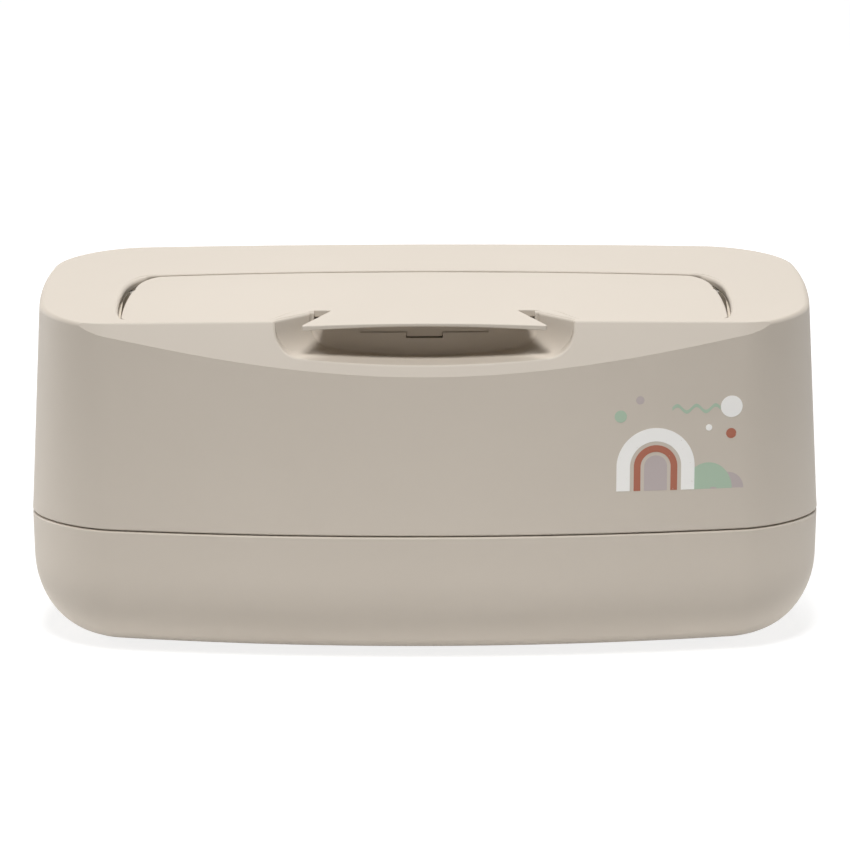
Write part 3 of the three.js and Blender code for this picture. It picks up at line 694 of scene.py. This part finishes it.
def edgeRadii(outline, piece):
    # wide along the sides, narrow along the rear seam and the front
    x, y = outline.T
    radii = blend(piece["rearEdge"], piece["sideEdge"], smoothStep(np.abs(x), *opening["sideX"]))
    return blend(piece["frontEdge"], radii, smoothStep(y, *opening["sideY"]))


def barrelSweep(outline, gap):
    # the rear edge follows a circle round the hinge, so the seam stays even as the lid turns
    seam = seamYAt(outline[:, 0])
    radius = np.hypot(seam - hinge["y"], topAt(seam) - hinge["z"]) + gap
    rear = outline[:, 1] > seam + gap - opening["seamBand"]

    def reachAt(heights):
        return np.sqrt(np.maximum(radius ** 2 - (heights - hinge["z"]) ** 2, 0))

    def sweep(points, heights):
        moved = points.copy()
        moved[:, 1] += np.where(rear, reachAt(heights) - reachAt(topAt(outline[:, 1])), 0)
        return moved
    return sweep


def brimRing(inset, drop, edge, turn):
    # one level of the rounded brim, which is rounded less along the front
    narrow = min(edge, housing["frontEdge"])
    wide, tight = (boxSection(inset + housing["taper"] + radius * (1 - math.cos(turn)), form["bowAtTop"])
                   for radius in (edge, narrow))
    front = smoothStep(wide[:, 1], *housing["frontY"])
    plan = blend(wide, tight, front[:, None])
    return ring(plan, topAt(plan[:, 1]) - drop + blend(edge, narrow, front) * (math.sin(turn) - 1))


def housingRings(inset, drop, lowZ, edge, count):
    leaning = housing["taper"] * (lowZ - form["parting"]) / (form["crown"] - form["parting"])
    low = sectionRing(lowZ, inset + leaning)
    turns = np.linspace(0, quarterTurn, steps["edge"] if edge else 1)
    brim = [brimRing(inset, drop, edge, turn) for turn in turns]
    return [blend(low, brim[0], share) for share in np.linspace(0, 1, count)], brim


def makeHousing():
    lowZ = form["parting"] + form["partingGap"] / 2
    walls, brim = housingRings(0, 0, lowZ, housing["topEdge"], steps["wall"])
    foot = [sectionRing(lowZ + rise, inset)
            for inset, rise in rounding(housing["lowerEdge"], steps["trayRim"], quarterTurn, 0)]
    margin = boxSection(housing["taper"] + housing["topEdge"] + housing["brimMargin"], form["bowAtTop"])
    top = ring(margin, topAt(margin[:, 1]))
    body = loft(foot + walls[1:] + brim[1:] + [top], endHeight=lambda x, y: topAt(y))
    cut(body, facetTool(0, housing["facetEdge"]))
    wall = form["wall"]
    innerWalls, innerBrim = housingRings(wall, wall, lowZ - form["clear"], 0, steps["wallInside"])
    hollow = loft(innerWalls + innerBrim[1:], None, lambda x, y: topAt(y) - wall, grid["inside"])
    cut(hollow, facetTool(wall * math.hypot(1, housing["facetRun"]), 0), scoopTool(housing["scoopWall"], 0))
    lap = form["lapInset"] - form["fit"]
    levels = lowZ - form["clear"], form["parting"] + form["lapHeight"] + form["fit"]
    cut(body, hollow, loft([sectionRing(z, lap) for z in levels]))
    earTop = housing["earTop"]
    for x, y in map(middleOf, screwNodes):
        join(body, disc(x, y, housing["bossRadius"], earTop + form["fit"], topAt(y) - wall / 2))
        cut(body, disc(x, y, housing["boreRadius"], earTop, earTop + housing["boreDepth"]))
    plan = openingOutline()
    cut(body, scoopTool(0, housing["scoopEdge"]),
        edgeTool(scoopPlan(), housing["rimEdge"], housing["rimLow"]),
        edgeTool(plan, edgeRadii(plan, opening), opening["low"], barrelSweep(plan, opening["gap"])))
    cutCatch(body)
    finishPiece(body, "housingShell", shellPlastic, "housing", ["upper_housing"])


def cutCatch(body):
    # in the scoop's back wall: recess for the snap band, slot for the tongue, notch above them
    backY, top = housing["scoopBackY"], housing["backWall"]
    frontY, throughY = backY - form["clear"], backY + housing["scoopWall"] + housing["through"]
    for half, low, deepY in (
            (housing["recessHalf"], top - housing["recessHeight"], backY + housing["recessDepth"]),
            (housing["catchHalf"], top - housing["catchHeight"], throughY),
            (housing["notchHalf"], top, throughY)):
        cut(body, block((-half, frontY, low), (half, deepY, cutTop)))


lid = {
    "half": 94.2, "rearHalf": 93.3, "sideBow": 0.5, "frontY": -39.5, "frontCorner": 3.9,
    "rearWide": 8.5, "rearLong": 14.0, "step": 0.8, "stepLong": 3.0, "recess": 0.3, "plate": 2.2,
    "plateFromX": 31.0, "shoulderX": 34.0, "neckY": -30.9, "neckHalf": 29.4, "neckRadius": 0.8,
    "rootRadius": 0.35, "tipHalf": 38.2, "tipY": -44.8, "tipRadius": 0.55,
    "lipHollow": 2.3, "lipThickness": 1.6, "lipArch": 0.55, "lipRootY": -32.0, "lipReachX": 40.0,
    "lipFade": 0.5,
    "sideEdge": 0.8, "rearEdge": 0.4, "frontEdge": 0.35, "underEdge": 0.25,
    "skirtInset": 0.8, "skirtWall": 1.4, "skirtZ": 101.586,
    "bandHalf": 19.7, "bandLow": 102.88, "bandWall": 0.7, "tongueHalf": 5.4, "tongueLow": 101.38,
    "knuckleX": 89.9, "knuckleWidth": 3.6, "knuckleRadius": 3.3, "pinHole": 1.8, "pinInnerX": 86.7,
    "stakeX": 74.0, "stakeY": -14.45, "stakeRow": 8.0, "stakeRadius": 1.2, "bossRadius": 2.4,
    "bossLow": 107.29, "stakeLow": 105.09,
}


def roundCorner(points, index, radius, count):
    # replaces one corner of an open line by an arc
    before, corner, after = (np.array(points[i], float) for i in (index - 1, index, index + 1))
    first, second = unit(before - corner), unit(after - corner)
    half = math.acos(np.clip(first @ second, -1, 1)) / 2
    reach = radius / math.tan(half)
    middle = corner + unit(first + second) * radius / math.sin(half)
    start, end = corner + first * reach - middle, corner + second * reach - middle
    angle = math.acos(np.clip(start @ end / radius ** 2, -1, 1))
    share = np.linspace(0, 1, count)[:, None]
    return np.vstack([points[:index], middle + swing(start, end, angle, share), points[index + 1:]])


def lidOutline(inset, bow=0):
    # right half, from the bay behind the scoop round to the middle of the seam
    cornerX = lid["rearHalf"] - lid["step"] - lid["rearWide"]
    cornerY = seamYAt(cornerX) - lid["rearLong"]
    stepY = cornerY - lid["stepLong"]
    rearSide = lid["rearHalf"] - inset
    share = np.linspace(0, 1, steps["lidStep"])[:-1]
    return np.vstack([
        frontAndSide(opening["rim"] + opening["gap"] + inset, lid["half"] - inset, lid["frontY"] + inset,
                     lid["frontCorner"], (rearSide, stepY), bow),
        np.column_stack([rearSide - lid["step"] * (1 - np.cos(share * math.pi)) / 2,
                         blend(stepY, cornerY, share)]),
        rearAndSeam(cornerX, cornerY, lid["rearWide"] - inset, lid["rearLong"] - inset),
    ])


def lipOutline():
    # hollow front edge, flared tip and the neck that joins it to the plate
    share = np.linspace(0, 1, steps["lip"])
    front = np.column_stack([lid["tipHalf"] * share, lid["tipY"] + lid["lipHollow"] * (1 - share ** 2)])
    plateY = housing["scoopBackY"] + opening["rim"] + opening["gap"]
    line = np.vstack([front, [(lid["neckHalf"], lid["neckY"]), (lid["neckHalf"], plateY),
                              (lid["shoulderX"], plateY)]])
    tip = len(front) - 1
    line = roundCorner(line, tip + 2, lid["rootRadius"], count=4)
    line = roundCorner(line, tip + 1, lid["neckRadius"], count=5)
    return roundCorner(line, tip, lid["tipRadius"], count=7)[:-1]


def lipThickness(x):
    # arched below, so that the front edge is thinnest in the middle
    return lid["lipThickness"] - lid["lipArch"] * np.maximum(1 - (x / lid["tipHalf"]) ** 2, 0)


def sideAxle(radius, innerX, outerX, side):
    section = arcPoints(hinge["y"], hinge["z"], radius, 0, fullTurn, steps["axle"])
    return loft([upright(section, side * x) for x in (innerX, outerX)], flatten=(1, 2))


def addSkirt(body):
    outline = mirrored(lidOutline(lid["skirtInset"]))
    inner = mirrored(lidOutline(lid["skirtInset"] + lid["skirtWall"]))
    top = topAt(outline[:, 1]) - lid["recess"] - lid["plate"] / 2
    skirt = loft([ring(outline, lid["skirtZ"]), ring(outline, top)])
    join(body, cut(skirt, prism(inner, lid["skirtZ"] - form["clear"], cutTop),
                   block((-form["width"], hinge["y"], 0), (form["width"], form["depth"], cutTop))))


def addCatch(body):
    # snap band along the lip, and the tongue through the scoop's back wall
    bandY = housing["scoopBackY"] + housing["recessDepth"] - form["fit"]
    tongueY = housing["scoopBackY"] + housing["scoopWall"] - form["fit"]
    plateMid = topAt(bandY) - lid["recess"] - lid["lipThickness"] / 2
    catch = (lid["bandHalf"], lid["bandLow"], bandY), (lid["tongueHalf"], lid["tongueLow"], tongueY)
    for half, low, deepY in catch:
        join(body, block((-half, bandY - lid["bandWall"], low), (half, deepY, plateMid)))


def addKnuckle(body, side):
    # hinge knuckle with its pin hole, and the two stakes beside it that carry the liner
    half, radius = lid["knuckleWidth"] / 2, lid["knuckleRadius"]
    middle, outerX = side * lid["knuckleX"], lid["knuckleX"] + half
    low = middle - half, hinge["y"] - radius, hinge["z"]
    high = middle + half, hinge["y"] + radius, topAt(hinge["y"]) - lid["plate"]
    join(body, block(low, high), sideAxle(radius, lid["knuckleX"] - half, outerX, side))
    cut(body, sideAxle(lid["pinHole"], lid["pinInnerX"], outerX + form["clear"], side))
    for row in (-1, 1):
        y = lid["stakeY"] + row * lid["stakeRow"]
        stake = (lid["bossRadius"], lid["bossLow"]), (lid["stakeRadius"], lid["stakeLow"])
        for radius, low in stake:
            join(body, disc(side * lid["stakeX"], y, radius, low, topAt(y) - lid["plate"]))


def makeLid():
    plate = lidOutline(0, lid["sideBow"])
    plate = plate[plate[:, 0] > lid["plateFromX"]]
    plan = mirrored(np.vstack([lipOutline(), plate, [(0, opening["seamY"])]]))
    x, y = plan.T
    normals = outwardNormals(plan)
    sweep = barrelSweep(plan, 0)
    fade = smoothStep(y, lid["lipRootY"] + lid["lipFade"], lid["lipRootY"] - lid["lipFade"])
    thickness = blend(lid["plate"], lipThickness(x), fade * (np.abs(x) < lid["lipReachX"]))
    radii = edgeRadii(plan, lid)
    top = topAt(y) - lid["recess"]

    def level(drop, inset):
        heights = top - drop
        return ring(sweep(plan, heights) - normals * np.broadcast_to(inset, len(plan))[:, None], heights)

    def overside(x, y):
        return topAt(y) - lid["recess"]

    def underside(x, y):
        lip = (y < lid["lipRootY"]) & (np.abs(x) < lid["lipReachX"])
        return overside(x, y) - np.where(lip, lipThickness(x), lid["plate"])

    rings = [level(thickness - rise, inset)
             for inset, rise in rounding(lid["underEdge"], steps["lipEdge"], quarterTurn, 0)]
    rings += [level(down, inset) for inset, down in rounding(radii, steps["lidEdge"])]
    body = loft(rings, underside, overside, grid["lid"])
    addSkirt(body)
    addCatch(body)
    for side in (-1, 1):
        addKnuckle(body, side)
    finishPiece(body, "lidShell", shellPlastic, "lid", ["lid_cover"])


# Motifs of a made-up pattern: across, up, then the sizes that each kind's function takes
printed = {
    "x": 78.5, "z": 70.5, "rise": 0.05, "layer": 0.02, "sunk": 0.3, "leg": 7.5, "overlap": 0.01,
    "mauve": {"colour": "bcb0ae", "hills": [(15.5, -15, 5.2, 5.2)], "arches": [(-7, -15, 3.6, 3.6)],
              "dots": [(-12, 13.5, 1.3)]},
    "sage": {"colour": "adc2ac", "hills": [(9.5, -15, 7.5, 8.4)], "dots": [(-18, 8.5, 1.9)],
             "ribbons": [(-2, 10, 15, 1.1, 2.5)]},
    "clay": {"colour": "ab6852", "arches": [(-7, -15, 6.8, 2.1)], "dots": [(16.5, 2.5, 1.6)]},
    "white": {"colour": "faf8f4", "arches": [(-7, -15, 12.2, 4.2)],
              "dots": [(16.5, 11, 3.4), (9.5, 4.5, 1.0)]},
}


def frontPlace(points):
    # from (across, up, out of the wall) to the housing's bowed and leaning front
    walls, _ = housingRings(0, 0, form["parting"], housing["topEdge"], steps["wall"])
    front = np.array([wall[:steps["front"] + steps["corner"]] for wall in walls])
    placed = []
    for x, z, out in points:
        y, height = (np.array([np.interp(x, row[:, 0], row[:, axis]) for row in front]) for axis in (1, 2))
        placed.append((x, np.interp(z, height, y) - out, z))
    return np.array(placed)


def arch(x, z, radius, width):
    # an arch as wide as its radius is a solid doorway
    top, over = z + printed["leg"], printed["overlap"]
    outer = arcPoints(x, top, radius, 0, math.pi + over, steps["motif"])
    line = [[(x + radius, z)], outer, [(x - radius, z)]]
    if radius > width:
        inner = arcPoints(x, top, radius - width, math.pi, -over, steps["motif"])
        line += [[(x - radius + width, z)], inner, [(x + radius - width, z)]]
    return np.vstack(line)


def hill(x, z, half, height):
    return np.vstack([arcPoints(x, z, half, 0, math.pi, steps["hill"], height), [(x - half, z)]])


def dot(x, z, radius):
    return arcPoints(x, z, radius, 0, fullTurn, steps["motif"])


def ribbon(x, z, length, width, waves):
    share = np.linspace(0, 1, steps["ribbon"])
    low = np.column_stack([x + length * share, z + np.sin(share * waves * fullTurn)])
    return np.vstack([low, low[::-1] + [0, width]])


def inkSheet(outline, high):
    # thin solid that follows the wall, sunk into it so that only its face shows
    low = -printed["sunk"]
    rings = [ring(outline, low), ring(outline, high)]
    return loft(rings, flat(low), flat(high), grid["print"], place=frontPlace)


def makePrint():
    # the inks lie one over the other
    shapes = {"hills": hill, "arches": arch, "dots": dot, "ribbons": ribbon}
    for layer, name in enumerate(("mauve", "sage", "clay", "white")):
        ink = printed[name]
        high = printed["rise"] + printed["layer"] * layer
        sheets = [inkSheet(shape(printed["x"] + across, printed["z"] + up, *sizes), high)
                  for kind, shape in shapes.items() for across, up, *sizes in ink.get(kind, [])]
        material = padInk("padPrintedInk" + name.capitalize(), ink["colour"])
        finishPiece(join(*sheets), name + "Print", material, "housing", [])


# Geometry Nodes for what repeats
def copyTree(name, sizes, makeShape, material):
    tree = bpy.data.node_groups.new(name, "GeometryNodeTree")
    tree.interface.new_socket("Places", in_out="INPUT", socket_type="NodeSocketGeometry")
    for label in sizes:
        tree.interface.new_socket(label, in_out="INPUT", socket_type="NodeSocketFloat")
    tree.interface.new_socket("Geometry", in_out="OUTPUT", socket_type="NodeSocketGeometry")
    size = addNode(tree, "NodeGroupInput").outputs
    copies = addNode(tree, "GeometryNodeInstanceOnPoints", links={
        "Points": size["Places"], "Instance": makeShape(tree, size)})
    real = addNode(tree, "GeometryNodeRealizeInstances", links={"Geometry": copies.outputs["Instances"]})
    finish = addNode(tree, "GeometryNodeSetMaterial", {"Material": material}, {
        "Geometry": real.outputs["Geometry"]})
    addNode(tree, "NodeGroupOutput", links={"Geometry": finish.outputs["Geometry"]})
    return tree


def lifted(tree, shape, length, base):
    # stands a centred shape of that length on its base
    height = calculate(tree, "MULTIPLY_ADD", length, 0.5, base)
    lift = addNode(tree, "ShaderNodeCombineXYZ", links={"Z": height})
    return addNode(tree, "GeometryNodeTransform", links={
        "Geometry": shape, "Translation": lift.outputs["Vector"]}).outputs["Geometry"]


def repeatOnNodes(name, makeShape, sizes, material, replaced, body):
    # one copy stands at the lowest point of each CAD node's middle line
    places = [(*middleOf(node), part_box(node)[0][2] * metre) for node in replaced]
    mesh = bpy.data.meshes.new(name)
    mesh.from_pydata((np.array(places) / metre).tolist(), [], [])
    piece = newObject(name, mesh)
    modifier = piece.modifiers.new("copies", "NODES")
    modifier.node_group = copyTree(name, sizes, makeShape, material)
    for socket in modifier.node_group.interface.items_tree:
        if socket.name in sizes:
            modifier[socket.identifier] = sizes[socket.name] / metre
    applyModifiers(piece)
    register(piece, name, body, replaced)


pad = {"Radius": 5.91, "Height": 1.5, "Bevel": 0.5}
screw = {"Head radius": 2.76, "Head height": 1.7, "Shank radius": 1.2, "Shank length": 8.0,
         "Pitch": 0.9, "Thread depth": 0.22, "Recess width": 0.5, "Recess length": 2.6}
headTaper = 0.78


def padShape(tree, size):
    depth = calculate(tree, "SUBTRACT", size["Height"], size["Bevel"])
    plug = addNode(tree, "GeometryNodeMeshCylinder", {"Vertices": 96}, {
        "Radius": size["Radius"], "Depth": depth})
    foot = addNode(tree, "GeometryNodeExtrudeMesh", {"Individual": False}, {
        "Mesh": plug.outputs["Mesh"], "Selection": plug.outputs["Bottom"], "Offset Scale": size["Bevel"]})
    narrow = calculate(tree, "SUBTRACT", 1.0, calculate(tree, "DIVIDE", size["Bevel"], size["Radius"]))
    bevel = addNode(tree, "GeometryNodeScaleElements", {}, {
        "Geometry": foot.outputs["Mesh"], "Selection": foot.outputs["Top"], "Scale": narrow})
    return lifted(tree, bevel.outputs["Geometry"], depth, size["Bevel"])


def screwShape(tree, size):
    # pan head with a crossed recess below, and a coarse thread for plastic above it
    head = addNode(tree, "GeometryNodeMeshCone", {"Vertices": 48}, {
        "Radius Top": size["Head radius"], "Depth": size["Head height"],
        "Radius Bottom": calculate(tree, "MULTIPLY", size["Head radius"], headTaper)})
    for across, along in (("Recess length", "Recess width"), ("Recess width", "Recess length")):
        extent = addNode(tree, "ShaderNodeCombineXYZ", links={
            "X": size[across], "Y": size[along], "Z": size["Head height"]})
        wing = addNode(tree, "GeometryNodeMeshCube", links={"Size": extent.outputs["Vector"]})
        head = addNode(tree, "GeometryNodeMeshBoolean", {"operation": "DIFFERENCE", "solver": "EXACT"}, {
            "Mesh 1": head.outputs["Mesh"], "Mesh 2": wing.outputs["Mesh"]})
    shank = addNode(tree, "GeometryNodeMeshCylinder", {"Vertices": 32}, {
        "Radius": size["Shank radius"], "Depth": size["Shank length"]})
    reach = calculate(tree, "SUBTRACT", size["Shank length"], size["Pitch"])
    path = addNode(tree, "GeometryNodeCurveSpiral", {"Resolution": 20}, {
        "Rotations": calculate(tree, "DIVIDE", reach, size["Pitch"]), "Height": reach,
        "Start Radius": size["Shank radius"], "End Radius": size["Shank radius"]})
    ridge = addNode(tree, "GeometryNodeCurvePrimitiveCircle", {"Resolution": 3}, {
        "Radius": size["Thread depth"]})
    thread = addNode(tree, "GeometryNodeCurveToMesh", {"Fill Caps": True}, {
        "Curve": path.outputs["Curve"], "Profile Curve": ridge.outputs["Curve"]})
    whole = addNode(tree, "GeometryNodeJoinGeometry")
    tree.links.new(head.outputs["Mesh"], whole.inputs["Geometry"])
    for part, length in ((shank, "Shank length"), (thread, "Pitch")):
        part = lifted(tree, part.outputs["Mesh"], size[length], size["Head height"])
        tree.links.new(part, whole.inputs["Geometry"])
    return whole.outputs["Geometry"]


def dressNodes():
    # the CAD pieces that are right as they are
    looks = {"inner_frame": framePlastic, "lid_liner": framePlastic, "lid_seal": sealSilicone,
             "hinge_pin_left": pinSteel, "hinge_pin_right": pinSteel}
    for name, material in looks.items():
        dress(frame["nodes"][name], material)
    print("dressed", len(looks), "CAD pieces")


makeTray()
makeHousing()
makeLid()
makePrint()
repeatOnNodes("rubberPads", padShape, pad, padRubber, padNodes, "tray")
repeatOnNodes("frameScrews", screwShape, screw, screwSteel, screwNodes, "housing")
dressNodes()

# Floor, light and camera, in metres
studio = {
    "ambient": 0.01, "aimHeight": 0.08, "floorHalf": 30.0, "oval": 0.65, "sheetGlow": 0.15, "shadow": 0.32,
    "sheet": {"From Min": 0.175, "From Max": 0.3, "To Min": 0.85, "To Max": 0.1},
    "white": {"From Min": 0.25, "From Max": 0.8, "To Min": 0.8},
}
panels = {
    "key": {"power": 13.0, "size": 0.3, "place": (-0.06, -0.62, 1.16)},
    "top": {"power": 6.3, "size": 0.6, "place": (0.05, 0.58, 1.18)},
    "left": {"power": 4.4, "size": 0.5, "place": (-1.0, 0.35, 0.22)},
    "right": {"power": 2.4, "size": 0.5, "place": (1.0, 0.3, 0.22)},
}


def turnedTo(piece, target):
    return (Vector(target) - piece.location).to_track_quat("-Z", "Y")


def makePanel(name, settings):
    lamp = bpy.data.lights.new(name, "AREA")
    lamp.shape = "SQUARE"
    lamp.size = settings["size"]
    lamp.energy = settings["power"]
    panel = newObject(name, lamp)
    panel.location = settings["place"]
    panel.rotation_euler = turnedTo(panel, (0, 0, studio["aimHeight"])).to_euler()


def seenPlainly(tree):
    # 1 for rays that look at the studio or mirror it, 0 for those that carry its light
    ray = addNode(tree, "ShaderNodeLightPath").outputs
    looks = calculate(tree, "MAXIMUM", ray["Is Camera Ray"], ray["Is Glossy Ray"])
    return calculate(tree, "MAXIMUM", looks, ray["Is Transmission Ray"])


def glowing(tree, strength, settings=None, links=None):
    matt = addNode(tree, "ShaderNodeBsdfDiffuse", settings, links)
    glow = addNode(tree, "ShaderNodeEmission", links={"Strength": strength})
    return addNode(tree, "ShaderNodeAddShader", links={
        0: matt.outputs["BSDF"], 1: glow.outputs["Emission"]}).outputs["Shader"]


def makeFloor():
    # paper that returns less light further out, and is seen white but for the shadow; near the box it also
    # glows, a painted bounce light
    material, tree, place = newMaterial("paleStudioFloor")
    oval = addNode(tree, "ShaderNodeVectorMath", {
        "operation": "MULTIPLY", 1: (studio["oval"], 1, 1)}, {0: place}).outputs["Vector"]
    distance = addNode(tree, "ShaderNodeVectorMath", {"operation": "LENGTH"}, {0: oval}).outputs["Value"]
    sheet, strength = (ranged(tree, distance, studio[name]) for name in ("sheet", "white"))
    # painted bounce light: the paper glows most near the box and so lights it from below
    glowingPaper = glowing(tree, calculate(tree, "MULTIPLY", sheet, studio["sheetGlow"]), links={"Color": sheet})
    white = glowing(tree, strength, {"Color": (*[studio["shadow"]] * 3, 1)})
    blended = addNode(tree, "ShaderNodeMixShader", links={0: seenPlainly(tree), 1: glowingPaper, 2: white})
    toSurface(tree, blended.outputs["Shader"])
    half = studio["floorHalf"]
    corners = [(-half, -half, 0), (half, -half, 0), (half, half, 0), (-half, half, 0)]
    mesh = bpy.data.meshes.new("studioFloor")
    mesh.from_pydata(corners, [], [range(4)])
    mesh.materials.append(material)
    newObject("studioFloor", mesh)


def makeSurround():
    world = bpy.data.worlds.new("softStudio")
    bpy.context.scene.world = world
    world.use_nodes = True
    tree = world.node_tree
    background = tree.nodes["Background"]
    background.inputs["Color"].default_value = (1, 1, 1, 1)
    strength = ranged(tree, seenPlainly(tree), {"To Min": studio["ambient"]})
    tree.links.new(strength, background.inputs["Strength"])


def makeStudio():
    # a white studio to the eye and in the gloss, lit by soft panels, a dim surround and the floor's painted
    # glow
    makeFloor()
    makeSurround()
    for name, settings in panels.items():
        makePanel(name + "Panel", settings)
    print("studio has a floor and", len(panels), "panels")


def makeCamera():
    lens = bpy.data.cameras.new("camera")
    lens.lens = 121.66
    lens.sensor_width = 36
    lens.clip_end = 100
    camera = newObject("camera", lens)
    camera.location = (0.00048, -0.91331, 0.26971)
    roll = Quaternion((0, 0, 1), math.radians(-0.1285))
    camera.rotation_mode = "QUATERNION"
    camera.rotation_quaternion = turnedTo(camera, (0.0001, 0, 0.06569)) @ roll
    bpy.context.scene.camera = camera
    print("camera stands at", *[round(length, 3) for length in camera.location])


makeStudio()
makeCamera()
bpy.context.scene.view_settings.view_transform = "Standard"
